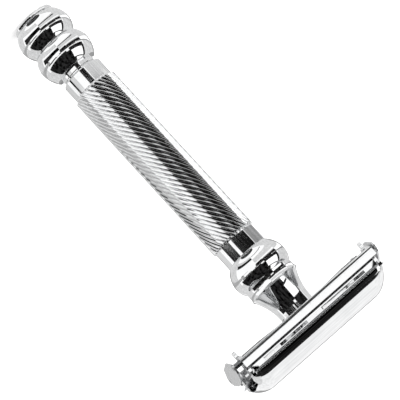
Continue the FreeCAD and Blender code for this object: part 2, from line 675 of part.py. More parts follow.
def lift_pieces():
    """What slides up to open the head: draw rod, lift bar, end caps and hinge pins."""
    node(turned("draw_rod", [
        (0, s.rod_low_z),
        (s.rod_r, s.rod_low_z),
        (s.rod_r, s.rod_thread_z),
        (s.rod_shank_r, s.rod_thread_z),
        (s.rod_shank_r, s.rod_head_z),
        (s.rod_r, s.rod_head_z),
        (s.rod_r, s.lift_low_z),
        (s.rod_tenon_r, s.lift_low_z),
        (s.rod_tenon_r, lift_high_z),
        (0, lift_high_z),
    ]), "draw_rod")

    bar = new_body("lift_bar_body")
    plan = new_sketch(bar, "lift_bar_plan", "XY_Plane", s.lift_low_z)
    quarter = [
        (s.lift_waist_x, s.lift_waist_y),
        (s.lift_wing_x, s.lift_wing_y),
        (s.lift_wing_end_x, s.lift_wing_y),
        (s.lift_wing_end_x, s.lift_tenon_y),
        (cap_outer_x, s.lift_tenon_y),
    ]
    right = quarter + [(x, -y) for x, y in reversed(quarter)]
    outline(plan, right + [(-x, y) for x, y in reversed(right)])
    pad(bar, plan, s.lift_thick, symmetric=False)
    hole = new_sketch(bar, "lift_bar_hole", "XY_Plane", s.lift_low_z)
    circle(hole, 0, 0, s.rod_tenon_r)
    cut_through(bar, hole, s.lift_thick * 4)
    node(bar, "lift_bar")

    for name, end in (("end_cap_left", -1), ("end_cap_right", 1)):
        cap = new_body(name + "_body")
        face = new_sketch(cap, name + "_face", "YZ_Plane", (s.cap_inner_x + s.cap_thick / 2) * end)
        lobe_y = s.pivot_y + s.lobe_out
        half = [
            (s.cap_side_y, s.cap_side_z, s.cap_arch_r, "right"),
            (lobe_y, s.pivot_z + s.lobe_half),
            (lobe_y, s.pivot_z - s.lobe_half, s.lobe_r, "right"),
            (s.cap_low_y, s.cap_low_z),
        ]
        crown = (0, s.cap_high_z, s.cap_arch_r, "right")
        outline(face, [crown] + half + mirrored(half))
        pad(cap, face, s.cap_thick)
        holes = new_sketch(cap, name + "_holes", "YZ_Plane", s.cap_inner_x * end)
        rectangle(holes, -s.lift_tenon_y, s.lift_low_z, s.lift_tenon_y, lift_high_z)
        for side in SIGNS:
            circle(holes, s.pivot_y * side, s.pivot_z, s.pin_r)
        cut_through(cap, holes, s.cap_thick * 4)
        node(cap, name)

    pins = []
    for end in SIGNS:
        start = s.pin_low_x if end > 0 else -cap_outer_x
        for side in SIGNS:
            pins.append(rod_along("hinge_pin", "X", (start, s.pivot_y * side, s.pivot_z),
                                  s.pin_r, cap_outer_x - s.pin_low_x))
    group("hinge_pins", pins)


def door_block(name, inset, low_z, gap):
    """A solid half dome with rounded ends, kept inside the door's outer skin by an inset."""
    body = new_body(name)
    section = new_sketch(body, name + "_section", "YZ_Plane")
    dome_curve = peak_radius(s.door_brow_z, s.door_brow_y, s.door_top_z, s.door_gap)
    outline(section, [
        (gap, low_z),
        (s.door_edge_y - inset, low_z),
        (s.door_side_y - inset, s.door_side_z),
        (s.door_brow_y - inset * s.brow_share_y, s.door_brow_z - inset * s.brow_share_z,
         s.door_brow_curve, "left"),
        (gap, s.door_top_z - inset, dome_curve, "left"),
    ])
    pad(body, section, (s.door_half_x - inset) * 2)
    curve = s.door_end_curve - inset
    for end in SIGNS:
        corner = new_sketch(body, name + "_corner", "XZ_Plane")
        high = s.door_top_z - inset
        outside = s.door_half_x + CLEAR
        side = s.door_half_x - inset
        outline(corner, [
            (outside * end, high - curve),
            (outside * end, high + CLEAR),
            ((side - curve) * end, high + CLEAR),
            ((side - curve) * end, high),
            (side * end, high - curve, curve, "right" if end > 0 else "left"),
        ])
        cut_through(body, corner, s.door_edge_y * 4)
    return body


def ear_body():
    """A hinge ear at each end: round the pivot, with a tail, and a claw under the cam stud."""
    body = new_body("ear_body")
    back = s.pivot_y - s.ear_back
    front = s.pivot_y + s.ear_front
    claw = s.pivot_y + s.claw_reach
    claw_high_z = s.pivot_z - s.claw_high
    claw_low_z = s.pivot_z - s.claw_low
    taper_z = s.pivot_z - s.tail_drop + s.tail_taper
    ear_outer_x = s.door_half_x - s.ear_inset
    for end in SIGNS:
        face = new_sketch(body, "ear_face", "YZ_Plane", (s.ear_inner_x + ear_outer_x) / 2 * end)
        outline(face, [
            (back, s.pivot_z - s.ear_heel),
            (s.pivot_y - s.tail_root_back, s.pivot_z - s.tail_root),
            (s.pivot_y - s.tail_half, taper_z),
            (s.pivot_y, s.pivot_z - s.tail_drop),
            (s.pivot_y + s.tail_half, taper_z),
            (s.pivot_y + s.crotch_front, s.pivot_z - s.crotch_drop),
            (claw - s.claw_bevel_y, claw_low_z),
            (claw, claw_low_z + s.claw_bevel_z),
            (claw, claw_high_z),
            (front + s.claw_root, claw_high_z),
            (front, s.pivot_z + s.claw_curve_end, s.claw_curve, "right"),
            (front, s.door_low_z - s.ear_shoulder),
            (s.door_edge_y, s.door_low_z - s.ear_step),
            (s.door_edge_y - s.ear_lip, s.door_low_z + s.ear_lap),
            (back, s.door_low_z + s.ear_lap),
        ])
        pad(body, face, ear_outer_x - s.ear_inner_x)
    holes = new_sketch(body, "ear_hole_outline", "YZ_Plane")
    circle(holes, s.pivot_y, s.pivot_z, s.pin_r + s.running_gap)
    cut_through(body, holes, s.door_half_x * 4)
    return body


def door_pieces():
    """Two mirror-like doors, each a thin domed shell with open-ended arches and hinge ears."""
    for name, turn in (("door_rear", 0), ("door_front", 180)):
        skin = door_block("skin", as_dim(0), s.door_low_z, s.door_gap)
        core = door_block("core", s.door_wall, s.door_low_z - CLEAR, s.door_gap - CLEAR)
        shell = doc.addObject("Part::Cut", name + "_shell")
        shell.Base = skin
        shell.Tool = core
        eared = doc.addObject("Part::MultiFuse", name + "_eared")
        eared.Shapes = [shell, ear_body()]
        arch = new_body("arch_body")
        opening = new_sketch(arch, "arch_outline", "YZ_Plane")
        outline(opening, [
            (-CLEAR, s.pivot_z),
            (s.arch_y, s.pivot_z),
            (s.arch_y, s.arch_z - s.arch_curve),
            (s.arch_y - s.arch_curve, s.arch_z, s.arch_curve, "left"),
            (-CLEAR, s.arch_z),
        ])
        pad(arch, opening, s.door_half_x * 4)
        door = doc.addObject("Part::Cut", name)
        door.Base = eared
        door.Tool = arch
        door.Placement = FreeCAD.Placement(
            FreeCAD.Vector(), FreeCAD.Rotation(FreeCAD.Vector(0, 0, 1), turn))
        node(door, name)


def check_document():
    """Stop if any object failed to compute, or any sub-part has no valid shape."""
    for thing in doc.Objects:
        bad = [state for state in thing.State if state in ("Invalid", "Error")]
        if bad:
            raise RuntimeError("{} is {}".format(thing.Label, bad))
    for thing in nodes:
        if thing.Shape.isNull() or not thing.Shape.isValid():
            raise RuntimeError("{} has no valid shape".format(thing.Label))


def write_parts():
    os.makedirs("parts", exist_ok=True)
    for thing in nodes:
        shape = thing.Shape
        shape.exportStep(os.path.join("parts", thing.Label + ".step"))
        print("{:16s} solids {} volume {:9.3f}".format(thing.Label, len(shape.Solids), shape.Volume))


knob_pieces()
handle_pieces()
neck_pieces()
guard_pieces()
blade_pieces()
lift_pieces()
door_pieces()
doc.recompute()
check_document()
write_parts()
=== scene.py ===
import json
import math

import bmesh
import bpy
from mathutils import Matrix, Vector


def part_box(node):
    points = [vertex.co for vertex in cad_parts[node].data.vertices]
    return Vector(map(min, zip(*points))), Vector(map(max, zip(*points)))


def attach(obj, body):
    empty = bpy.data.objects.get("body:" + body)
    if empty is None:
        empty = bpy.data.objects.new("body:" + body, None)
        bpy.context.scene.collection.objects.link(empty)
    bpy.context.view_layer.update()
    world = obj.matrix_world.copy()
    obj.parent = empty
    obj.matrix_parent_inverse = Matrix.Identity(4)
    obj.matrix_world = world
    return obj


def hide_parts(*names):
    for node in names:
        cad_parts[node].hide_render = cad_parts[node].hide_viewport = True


# The looks of a twist-to-open safety razor. Lengths are in millimetres until a mesh is made.
# The handle stands on Z, the head lies along X, and the side that the camera sees faces -Y.

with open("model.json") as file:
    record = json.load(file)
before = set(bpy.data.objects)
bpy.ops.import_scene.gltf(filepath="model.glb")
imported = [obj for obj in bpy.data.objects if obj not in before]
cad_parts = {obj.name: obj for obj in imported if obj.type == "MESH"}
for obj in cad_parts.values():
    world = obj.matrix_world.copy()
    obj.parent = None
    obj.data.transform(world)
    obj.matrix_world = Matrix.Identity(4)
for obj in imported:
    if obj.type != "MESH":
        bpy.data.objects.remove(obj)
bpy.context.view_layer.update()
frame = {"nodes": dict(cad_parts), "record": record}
scene = bpy.context.scene

MM = 0.001
TURN_STEPS = 224
ARC_STEPS = 20
CREASE = math.radians(32)

# The hinge axes of the doors, and the doors' own section.
HINGE_Y, HINGE_Z = 7.8, 96.5
DOOR_EDGE_Y, DOOR_LOW_Z, DOOR_TOP_Z = 10.45, 100.75, 105.0


# ---------------------------------------------------------------- outlines

def node_box(node):
    """Lowest and highest corner of a CAD node, in millimetres."""
    low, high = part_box(node)
    return low / MM, high / MM


def arc_points(start, end, radius, turn, steps=ARC_STEPS):
    """Points after start on the short arc to end, curving left or right on the way."""
    start, end = Vector(start), Vector(end)
    chord = end - start
    side = Vector((-chord.y, chord.x)).normalized()
    if turn == "right":
        side = -side
    reach = math.sqrt(max(radius ** 2 - (chord.length / 2) ** 2, 0.0))
    centre = (start + end) / 2 + side * reach
    first = math.atan2(start.y - centre.y, start.x - centre.x)
    sweep = 2 * math.asin(min(1.0, chord.length / 2 / radius))
    if turn == "right":
        sweep = -sweep
    spots = []
    for step in range(1, steps + 1):
        angle = first + sweep * step / steps
        spots.append((centre.x + radius * math.cos(angle), centre.y + radius * math.sin(angle)))
    return spots


def outline(corners, steps=ARC_STEPS):
    """Points of an outline whose corners are (a, b), or (a, b, radius, turn) for an arc to them."""
    spots = []
    for number, corner in enumerate(corners):
        if len(corner) == 2:
            spots.append(tuple(corner))
        else:
            spots += arc_points(corners[number - 1][:2], corner[:2], corner[2], corner[3], steps)
    return spots


def soften(spots, radius, closed=True, least=math.radians(14), steps=4):
    """The same outline with every real corner rounded off by a small radius."""
    made = []
    count = len(spots)
    for number, spot in enumerate(spots):
        here = Vector(spot)
        if not closed and number in (0, count - 1):
            made.append(spot)
            continue
        before = Vector(spots[number - 1]) - here
        after = Vector(spots[(number + 1) % count]) - here
        if before.length < 1e-6 or after.length < 1e-6:
            continue
        bend = math.pi - before.angle(after)
        if bend < least:
            made.append(spot)
            continue
        cut = min(radius * math.tan(bend / 2), before.length * 0.45, after.length * 0.45)
        first = here + before.normalized() * cut
        last = here + after.normalized() * cut
        for step in range(steps + 1):
            share = step / steps
            near = first.lerp(here, share)
            far = here.lerp(last, share)
            made.append(tuple(near.lerp(far, share)))
    return made


def hold(spots, near=0.03, least=0.5):
    """Extra points near both ends of each long straight, so that smooth shading keeps it."""
    made = []
    for number, spot in enumerate(spots):
        made.append(tuple(spot))
        here = Vector(spot)
        along = Vector(spots[(number + 1) % len(spots)]) - here
        if along.length > least:
            made.append(tuple(here + along.normalized() * near))
            made.append(tuple(here + along.normalized() * (along.length - near)))
    return made


def peak_radius(low_r, low_z, peak_r, peak_z):
    """Radius of the arc that ends level at a bead's largest ring."""
    rise = peak_r - low_r
    run = peak_z - low_z
    return (run * run + rise * rise) / (rise * 2)


def mirrored(spots):
    """The mirror image of an outline's points, run backwards so that it keeps its direction."""
    return [(-a, b) for a, b in reversed(spots)]


# ---------------------------------------------------------------- meshes

def shade(mesh, crease=CREASE):
    mesh.shade_smooth()
    mesh.set_sharp_from_angle(angle=crease)


def new_mesh_object(name, points, faces, crease=CREASE):
    """A mesh object from points in millimetres, with its faces turned outwards."""
    mesh = bpy.data.meshes.new(name)
    mesh.from_pydata([Vector(point) * MM for point in points], [], faces)
    shell = bmesh.new()
    shell.from_mesh(mesh)
    bmesh.ops.remove_doubles(shell, verts=shell.verts, dist=1e-8)
    bmesh.ops.recalc_face_normals(shell, faces=shell.faces)
    shell.to_mesh(mesh)
    shell.free()
    shade(mesh, crease)
    thing = bpy.data.objects.new(name, mesh)
    scene.collection.objects.link(thing)
    return thing


def lathe(name, spots, segments=TURN_STEPS):
    """A piece turned about Z from a closed outline of (radius, height)."""
    points = []
    rings = []
    for radius, height in hold(spots):
        if radius < 1e-6:
            rings.append([len(points)] * segments)
            points.append((0, 0, height))
            continue
        ring = []
        for step in range(segments):
            angle = 2 * math.pi * step / segments
            ring.append(len(points))
            points.append((radius * math.cos(angle), radius * math.sin(angle), height))
        rings.append(ring)
    faces = []
    for number, ring in enumerate(rings):
        after = rings[(number + 1) % len(rings)]
        for step in range(segments):
            follow = (step + 1) % segments
            face = [ring[step], ring[follow], after[follow], after[step]]
            corners = list(dict.fromkeys(face))
            if len(corners) > 2:
                faces.append(corners)
    return new_mesh_object(name, points, faces)


def prism(name, spots, low, high, axis="X", edge=0.0):
    """An outline pushed along X (outline in Y and Z) or along Z (outline in X and Y)."""
    points = []
    count = len(spots)
    for level in (low, high):
        for a, b in spots:
            points.append((level, a, b) if axis == "X" else (a, b, level))
    faces = [list(range(count)), list(range(count, 2 * count))]
    for step in range(count):
        follow = (step + 1) % count
        faces.append([step, follow, count + follow, count + step])
    thing = new_mesh_object(name, points, faces)
    if edge > 0:
        bevel(thing, edge)
    return thing


def bevel(thing, width):
    """Round the real edges of a piece, so that they catch the light."""
    modifier = thing.modifiers.new("edges", "BEVEL")
    modifier.width = width * MM
    modifier.segments = 3
    modifier.limit_method = "ANGLE"
    modifier.angle_limit = math.radians(40)
    modifier.harden_normals = True
    modifier.use_clamp_overlap = True


def settle(thing):
    """Make a piece's modifiers part of its mesh."""
    graph = bpy.context.evaluated_depsgraph_get()
    mesh = bpy.data.meshes.new_from_object(thing.evaluated_get(graph))
    thing.modifiers.clear()
    thing.data = mesh


def combine(thing, other, how):
    """Cut the other piece from this one, or weld it on, and remove the other."""
    modifier = thing.modifiers.new("join", "BOOLEAN")
    modifier.operation = how
    modifier.solver = "EXACT"
    modifier.object = other
    settle(thing)
    bpy.data.objects.remove(other)


def block(low, high):
    """A plain cutting block between two corners."""
    spots = [(low[1], low[2]), (high[1], low[2]), (high[1], high[2]), (low[1], high[2])]
    return prism("cutter", spots, low[0], high[0])


def finish_edges(thing, width):
    shade(thing.data)
    bevel(thing, width)


# ---------------------------------------------------------------- materials

def new_material(name):
    material = bpy.data.materials.new(name)
    material.use_nodes = True
    tree = material.node_tree
    shader = tree.nodes["Principled BSDF"]
    return material, tree, shader


def add(tree, kind, **settings):
    made = tree.nodes.new(kind)
    for key, value in settings.items():
        if key in made.inputs:
            made.inputs[key].default_value = value
        else:
            setattr(made, key, value)
    return made


def stretched(tree, scale):
    """Object coordinates in millimetres, stretched by a scale for each axis."""
    coords = add(tree, "ShaderNodeTexCoord")
    mapping = add(tree, "ShaderNodeMapping")
    mapping.inputs["Scale"].default_value = [value / MM for value in scale]
    tree.links.new(coords.outputs["Object"], mapping.inputs["Vector"])
    return mapping.outputs["Vector"]


def ramp(tree, source, low, high, start, end):
    """A straight change from one number to another as the source goes from start to end."""
    made = add(tree, "ShaderNodeMapRange")
    made.inputs["From Min"].default_value = start
    made.inputs["From Max"].default_value = end
    made.inputs["To Min"].default_value = low
    made.inputs["To Max"].default_value = high
    tree.links.new(source, made.inputs["Value"])
    return made.outputs["Result"]


def metal(name, dark, light, rough, grain, scratch, bump):
    """Metal with clouded colour and gloss, and fine lines along its working direction."""
    material, tree, shader = new_material(name)
    links = tree.links
    cloud = add(tree, "ShaderNodeTexNoise", Scale=0.22, Detail=5.0, Roughness=0.6)
    links.new(stretched(tree, (1, 1, 1)), cloud.inputs["Vector"])
    lines = add(tree, "ShaderNodeTexNoise", Scale=1.0, Detail=6.0, Roughness=0.65)
    links.new(stretched(tree, grain), lines.inputs["Vector"])
    mix = add(tree, "ShaderNodeMix", data_type="RGBA")
    mix.inputs["A"].default_value = (*dark, 1)
    mix.inputs["B"].default_value = (*light, 1)
    links.new(ramp(tree, cloud.outputs["Fac"], 0.0, 1.0, 0.35, 0.65), mix.inputs["Factor"])
    links.new(mix.outputs["Result"], shader.inputs["Base Color"])
    shader.inputs["Metallic"].default_value = 1.0
    worn = add(tree, "ShaderNodeMath", operation="ADD")
    links.new(ramp(tree, cloud.outputs["Fac"], rough[0], rough[1], 0.3, 0.7), worn.inputs[0])
    links.new(ramp(tree, lines.outputs["Fac"], 0.0, scratch, 0.5, 0.75), worn.inputs[1])
    links.new(worn.outputs[0], shader.inputs["Roughness"])
    relief = add(tree, "ShaderNodeBump", Strength=bump, Distance=0.01 * MM)
    links.new(lines.outputs["Fac"], relief.inputs["Height"])
    links.new(relief.outputs["Normal"], shader.inputs["Normal"])
    return material


def blade_material():
    """Thin stainless steel: a brushed face and two bands of honed bevel along each edge."""
    material = metal("blade_steel", (0.52, 0.53, 0.55), (0.66, 0.67, 0.69),
                     rough=(0.2, 0.3), grain=(0.05, 4, 4), scratch=0.12, bump=0.3)
    tree = material.node_tree
    shader = tree.nodes["Principled BSDF"]
    coords = add(tree, "ShaderNodeTexCoord")
    split = add(tree, "ShaderNodeSeparateXYZ")
    tree.links.new(coords.outputs["Object"], split.inputs[0])
    across = add(tree, "ShaderNodeMath", operation="ABSOLUTE")
    tree.links.new(split.outputs["Y"], across.inputs[0])
    half = node_box("razor_blade")[1].y
    honed = ramp(tree, across.outputs[0], 0.0, 1.0, (half - 1.2) * MM, (half - 1.1) * MM)
    old = shader.inputs["Base Color"].links[0].from_socket
    mix = add(tree, "ShaderNodeMix", data_type="RGBA")
    mix.inputs["B"].default_value = (0.88, 0.89, 0.9, 1)
    tree.links.new(honed, mix.inputs["Factor"])
    tree.links.new(old, mix.inputs["A"])
    tree.links.new(mix.outputs["Result"], shader.inputs["Base Color"])
    return material


chrome = metal("chrome_plate", (0.80, 0.805, 0.81), (0.86, 0.865, 0.87),
               rough=(0.03, 0.055), grain=(1.5, 1.5, 1.5), scratch=0.03, bump=0.02)
turned_chrome = metal("turned_chrome", (0.79, 0.795, 0.80), (0.86, 0.865, 0.87),
                      rough=(0.03, 0.06), grain=(0.3, 0.3, 9), scratch=0.03, bump=0.03)
grip_chrome = metal("grip_chrome", (0.76, 0.765, 0.77), (0.86, 0.865, 0.87),
                    rough=(0.035, 0.055), grain=(2, 2, 2), scratch=0.03, bump=0.04)
# Darker, rougher chrome: a satin finish on the lift bar and end caps, and painted shade on the
# guard's inward and downward faces.
satin_and_shade_chrome = metal("satin_and_shade_chrome", (0.62, 0.625, 0.63), (0.7, 0.705, 0.71),
                     rough=(0.24, 0.32), grain=(3, 0.3, 3), scratch=0.08, bump=0.1)
brass = metal("bare_brass", (0.56, 0.38, 0.15), (0.74, 0.55, 0.26),
              rough=(0.2, 0.32), grain=(0.3, 0.3, 12), scratch=0.12, bump=0.4)
spring_steel = metal("spring_steel", (0.2, 0.205, 0.21), (0.34, 0.345, 0.35),
                     rough=(0.25, 0.38), grain=(6, 0.6, 6), scratch=0.1, bump=0.3)
blade_steel = blade_material()


def paint(thing, material):
    thing.data.materials.clear()
    thing.data.materials.append(material)
    for face in thing.data.polygons:
        face.material_index = 0


def place(thing, body, slot, material, *nodes):
    """Give a piece its material, and let it stand for its CAD nodes on their body. The slot is not
    used.
    """
    paint(thing, material)
    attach(thing, body)
    if nodes:
        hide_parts(*nodes)


# ---------------------------------------------------------------- knob, handle and neck

def make_knob():
    """The two-bead knob and the flat plug in its end."""
    low, high = node_box("knob_end_plug")
    plug_r, top_z = high.x, node_box("knob")[0].z
    dish_r, dish_z, spigot_r, stem_low_z = 3.3, 0.14, 3.6, 4.2
    rim, chamfer = 0.4, 0.14
    plug = soften(outline([
        (0, dish_z),
        (dish_r, dish_z),
        (dish_r + dish_z, low.z),
        (plug_r - rim, low.z),
        (plug_r, rim, rim, "left"),
        (plug_r, top_z - chamfer),
        (plug_r - chamfer, top_z),
        (spigot_r, top_z),
        (spigot_r, high.z),
        (0, high.z),
    ]), radius=0.06, closed=False)
    place(lathe("end_plug", plug), "knob_assembly", "chrome_plate", turned_chrome, "knob_end_plug")

    low, high = node_box("knob")
    bead_r, waist_r, start_r, stem_r = high.x, 5.8, 5.62, 3.0
    bead_low_z, waist_z, bead_high_z = 4.75, 8.35, 11.8
    start_z = low.z + 0.12
    shoulder_r, shoulder_z = 5.65, 16.2
    collar_r, collar_z = 4.5, 16.0
    body = soften(outline([
        (spigot_r, low.z),
        (start_r - 0.16, low.z),
        (start_r, start_z),
        (bead_r, bead_low_z, peak_radius(start_r, start_z, bead_r, bead_low_z), "left"),
        (waist_r, waist_z, peak_radius(waist_r, waist_z, bead_r, bead_low_z), "left"),
        (bead_r, bead_high_z, peak_radius(waist_r, waist_z, bead_r, bead_high_z), "left"),
        (shoulder_r, shoulder_z, peak_radius(shoulder_r, shoulder_z, bead_r, bead_high_z), "left"),
        (collar_r, collar_z),
        (collar_r, high.z),
        (stem_r, high.z),
        (stem_r, stem_low_z),
        (spigot_r, stem_low_z),
    ], steps=28), radius=0.14)
    place(lathe("knob_turned", body), "knob_assembly", "chrome_plate", turned_chrome, "knob")


def make_handle():
    """The grip tube: plain rings at both ends and 32 helical ridges between them."""
    low, high = node_box("handle_tube")
    starts, samples = 32, 18
    lead = 55.0
    groove, flat = 0.23, 0.43
    grip_r, bore_r = high.x, 4.0
    low_r, high_r = 5.4, 5.55
    grip_low, grip_high, bevel_z = 23.2, 72.4, 0.5
    edge, top_edge, rise, run, bevel_r = 0.35, 0.1, 0.02, 0.05, 0.62
    rows = 84

    levels = [(bore_r, low.z), (low_r - edge, low.z)]
    levels += arc_points(levels[-1], (low_r, low.z + edge), edge, "left", 6)
    levels += [(low_r, grip_low - bevel_z - run), (low_r + rise, grip_low - bevel_z)]
    levels += arc_points(levels[-1], (grip_r, grip_low), bevel_r, "right", 5)
    levels += [(grip_r, grip_low + (grip_high - grip_low) * n / rows) for n in range(1, rows + 1)]
    levels += arc_points((grip_r, grip_high), (high_r + rise, grip_high + bevel_z),
                         bevel_r, "right", 5)
    levels += [(high_r, grip_high + bevel_z + run), (high_r, high.z - top_edge),
               (high_r - top_edge, high.z), (bore_r, high.z)]
    levels = hold(levels, least=0.6)
    count = starts * samples
    points = []
    for radius, height in levels:
        wound = min(max(height, grip_low - bevel_z), grip_high + bevel_z)
        for step in range(count):
            share = (step % samples) / samples
            hollow = groove * max(0.0, (abs(2 * share - 1) - flat) / (1 - flat))
            depth = hollow if grip_low - bevel_z < height < grip_high + bevel_z else 0.0
            reach = max(radius - depth, min(radius, low_r)) if radius > low_r else radius
            angle = 2 * math.pi * (step / count - wound / lead)
            points.append((reach * math.cos(angle), reach * math.sin(angle), height))
    faces = []
    for row in range(len(levels)):
        base, after = row * count, (row + 1) % len(levels) * count
        for step in range(count):
            follow = (step + 1) % count
            faces.append([base + step, base + follow, after + follow, after + step])
    grip = new_mesh_object("grip_tube", points, faces, math.radians(50))
    place(grip, "handle", "grip_chrome", grip_chrome, "handle_tube")


def make_neck():
    """The turned neck with its bead, sharp rim and flare, split into two prongs at the top."""
    low, high = node_box("neck")
    bore_r, tube_r, tube_z = 3.0, 4.0, node_box("handle_tube")[1].z
    start_r, start_z, bead_r, bead_z = 5.75, tube_z + 0.1, high.x, 82.0
    hollow_r, hollow_z = 6.62, 84.8
    rim_r, rim_z = 6.78, 87.1
    flare_r, flare_z, flare_curve = 6.4, 87.45, 13.5
    throat_r, throat_z = 4.65, 94.0
    slot_half, slot_z = 1.7, 94.8
    spots = soften(outline([
        (bore_r, low.z),
        (tube_r, low.z),
        (tube_r, tube_z),
        (start_r - 0.1, tube_z),
        (start_r, start_z),
        (bead_r, bead_z, peak_radius(start_r, start_z, bead_r, bead_z), "left"),
        (hollow_r, hollow_z, peak_radius(hollow_r, hollow_z, bead_r, bead_z), "left"),
        (rim_r - 0.12, rim_z - 0.25, 4.0, "right"),
        (rim_r, rim_z),
        (flare_r, flare_z),
        (throat_r, throat_z, flare_curve, "right"),
        (throat_r, high.z),
        (bore_r, high.z),
    ], steps=28), radius=0.1)
    neck = lathe("neck_turned", spots)
    reach_x, past = 10, 2
    slot = block((-reach_x, -slot_half, slot_z), (reach_x, slot_half, high.z + past))
    combine(neck, slot, "DIFFERENCE")
    shade(neck.data)
    place(neck, "handle", "chrome_plate", turned_chrome, "neck")


# ---------------------------------------------------------------- head

def bar_outline(inner, outer, low, high):
    """One safety bar's section: a small round above and a slanted, slightly rounded face below."""
    slant, slant_curve, top_curve = 1.0, 4.0, 0.1
    return outline([
        (inner, high),
        (inner, low),
        (outer - slant, low),
        (outer, low + slant, slant_curve, "left"),
        (outer, high - top_curve),
        (outer - top_curve, high, top_curve, "left"),
    ], steps=10)


def paint_shade_inside(thing):
    """Paint shade on faces that look inwards or down, by giving them the darker, rougher satin
    chrome.
    """
    bar_inner_y, wall_y = 10.95 * MM, 10.3 * MM
    thing.data.materials.append(satin_and_shade_chrome)
    for face in thing.data.polygons:
        reach = abs(face.center.y)
        inwards = face.normal.y * face.center.y < -1e-4 and reach < bar_inner_y
        downwards = face.normal.z < -0.9 and reach < wall_y
        if inwards or downwards:
            # Painted shade: these inward and downward faces take the darker satin chrome.
            face.material_index = 1


def make_guard():
    """The guard: seat plate, slotted walls and a safety bar along each side."""
    low, high = node_box("guard_plate")
    bar_x, wall_x, plate_x, plate_y = high.x, 19.0, 18.3, 9.6
    inner, outer, bar_low, bar_high = 11.0, high.y, low.z, 98.8
    seat_z, plate_low = high.z, high.z - 0.5
    seat_y, wall_y, wall_in_y, ledge_y, foot_z = 9.3, 10.4, 9.85, 11.2, 98.0
    slot_near, slot_far, slot_low, slot_reach_y = 2.3, 15.6, 99.35, 13
    above, below = 1, 2

    half = outline([
        (seat_y, seat_z),
        (wall_y - 0.15, seat_z - 0.08),
        (wall_y, seat_z - 0.23, 0.16, "right"),
        (wall_y, bar_high + 0.25),
        (wall_y + 0.15, bar_high + 0.1, 0.15, "left"),
        (ledge_y, bar_high + 0.05),
        (ledge_y, foot_z),
        (ledge_y - 0.3, foot_z),
        (wall_y - 0.1, bar_high - 0.1),
        (wall_in_y, bar_high + 0.3),
        (wall_in_y, plate_low),
        (seat_y, plate_low),
    ], steps=8)
    shell = prism("guard_detail", half + mirrored(half), -wall_x, wall_x)
    for end in (-1, 1):
        near, far = sorted((plate_x * end, (wall_x + above) * end))
        notch = block((near, -plate_y, plate_low - below), (far, plate_y, seat_z + above))
        combine(shell, notch, "DIFFERENCE")
        near, far = sorted((slot_near * end, slot_far * end))
        drain = block((near, -slot_reach_y, slot_low), (far, slot_reach_y, plate_low))
        combine(shell, drain, "DIFFERENCE")
        near, far = sorted((plate_x * end, wall_x * end))
        for side in (-1, 1):
            left, right = sorted((plate_y * side, (inner + 0.1) * side))
            rib = block((near, left, bar_low + 0.3), (far, right, bar_high + 0.1))
            combine(shell, rib, "UNION")
    for side in (-1, 1):
        spots = bar_outline(inner, outer, bar_low, bar_high)
        spots = spots if side > 0 else mirrored(spots)
        combine(shell, prism("bar", spots, -bar_x, bar_x), "UNION")
    finish_edges(shell, width=0.07)
    place(shell, "handle", "chrome_plate", chrome, "guard_plate")
    # Painted shade on the guard's inward and downward faces.
    paint_shade_inside(shell)


def door_rows(inset):
    """Half of a door's section, from its lower edge over the dome to the gap line."""
    edge_y, low_z, top_z = DOOR_EDGE_Y, DOOR_LOW_Z, DOOR_TOP_Z
    side_y, side_z, side_curve = 10.3, 101.7, 1.7
    brow_y, brow_z, gap, lip = 9.2, 102.8, 0.06, 0.22
    dome = peak_radius(brow_z, brow_y, top_z, gap) + 0.2
    y, z = inset * 0.6, inset * 0.9
    return outline([
        (edge_y - lip - inset, low_z),
        (edge_y - inset, low_z + lip, lip, "left"),
        (side_y - inset, side_z),
        (brow_y - y, brow_z - z, side_curve, "left"),
        (gap, top_z - inset, dome, "left"),
    ], steps=18)


def door_surface(inset, side):
    """The grid of points on a door's outer or inner face, ends rounded down and in."""
    half_x, top_z, low_z = node_box("door_front")[1].x, DOOR_TOP_Z, DOOR_LOW_Z
    curve, fall, plan_curve = 4.2, 3.3, 1.9
    end_steps, middle_steps = 16, 20
    straight = half_x - curve
    stations = []
    for step in range(end_steps, 0, -1):
        angle = math.pi / 2 * step / end_steps
        stations.append((-straight - (curve - inset) * math.sin(angle), math.cos(angle)))
    for step in range(middle_steps + 1):
        stations.append((-straight + 2 * straight * step / middle_steps, 1.0))
    for step in range(1, end_steps + 1):
        angle = math.pi / 2 * step / end_steps
        stations.append((straight + (curve - inset) * math.sin(angle), math.cos(angle)))
    rows = door_rows(inset)
    grid = []
    for x, level in stations:
        drop = (fall - inset) * (1 - level)
        squeeze = (top_z - inset - drop - low_z) / (top_z - inset - low_z)
        past = max(0.0, abs(x) - (half_x - inset - plan_curve)) / plan_curve
        pull = plan_curve * (1 - math.sqrt(max(0.0, 1 - past * past)))
        narrow = (DOOR_EDGE_Y - pull) / DOOR_EDGE_Y
        grid.append([(x, side * y * narrow, low_z + (z - low_z) * squeeze) for y, z in rows])
    return grid


def ear_outline(side):
    """A hinge ear: round the pivot, with a hooked tail and a claw under the cam stud."""
    y, z, top_z = HINGE_Y, HINGE_Z, 101.2
    spots = outline([
        (y - 0.95, top_z),
        (y - 0.95, z - 0.2),
        (y - 0.35, z - 1.2),
        (y - 0.45, z - 2.6, 3.0, "left"),
        (y + 0.05, z - 3.0, 0.5, "left"),
        (y + 0.45, z - 2.5, 0.5, "left"),
        (y + 1.0, z - 1.3, 2.2, "right"),
        (y + 2.7, z - 0.85, 2.6, "left"),
        (y + 3.05, z - 0.45, 0.4, "left"),
        (y + 3.0, z - 0.1, 0.4, "left"),
        (y + 2.2, z - 0.12),
        (y + 1.8, z + 0.5, 0.7, "right"),
        (y + 1.8, 99.8),
        (y + 2.6, 100.45),
        (y + 2.55, top_z),
    ], steps=8)
    return spots if side > 0 else mirrored(spots)


